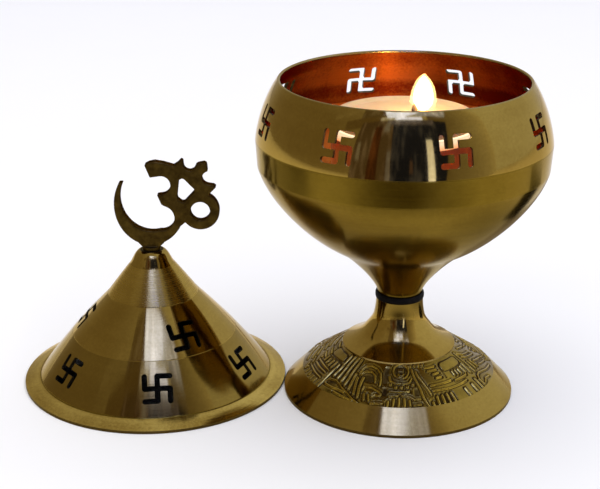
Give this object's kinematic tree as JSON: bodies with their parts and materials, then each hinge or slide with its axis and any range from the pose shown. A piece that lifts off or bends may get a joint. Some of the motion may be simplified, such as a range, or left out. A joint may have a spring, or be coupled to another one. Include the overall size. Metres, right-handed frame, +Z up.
{
  "type": "akhand diya",
  "caption": "Brass prayer lamp: a pierced bowl on a flared, chased foot holds a candle, and a pierced conical lid with an Om finial stands beside it and lifts away",
  "frame": {"origin": "centre of the foot's ring where it stands on the table", "axes": "+Z up along the goblet's axis, -Y towards the viewer of the picture, +X to the viewer's right"},
  "size_m": [0.1416, 0.0818, 0.0864],
  "materials": {
    "brass": "polished, turned on a lathe",
    "cast_brass": "cast, dark and unpolished",
    "black_ring": "matt",
    "steel": "satin",
    "foil": "bright",
    "wax": "waxy",
    "wick": "charred cotton"
  },
  "bodies": {
    "goblet": {"foot": "brass", "waist_ring": "black_ring", "bowl": "brass", "tie_screw": "steel", "head_washer": "steel", "nut_washer": "steel", "tie_nut": "steel"},
    "lid": {"lid_cone": "brass", "om_finial": "cast_brass", "finial_washer": "steel", "finial_nut": "steel"},
    "candle": {"candle_cup": "foil", "candle_wax": "wax", "wick": "wick", "wick_sustainer": "steel"}
  },
  "joints": [
    {"name": "lid_lift", "type": "slide", "parent": "goblet", "child": "lid", "axis": [-0.34, 0.0369, 0.9397], "range_m": [0, 0.1]},
    {"name": "candle_lift", "type": "slide", "parent": "goblet", "child": "candle", "axis": [0, 0, 1], "range_m": [0, 0.06]}
  ]
}
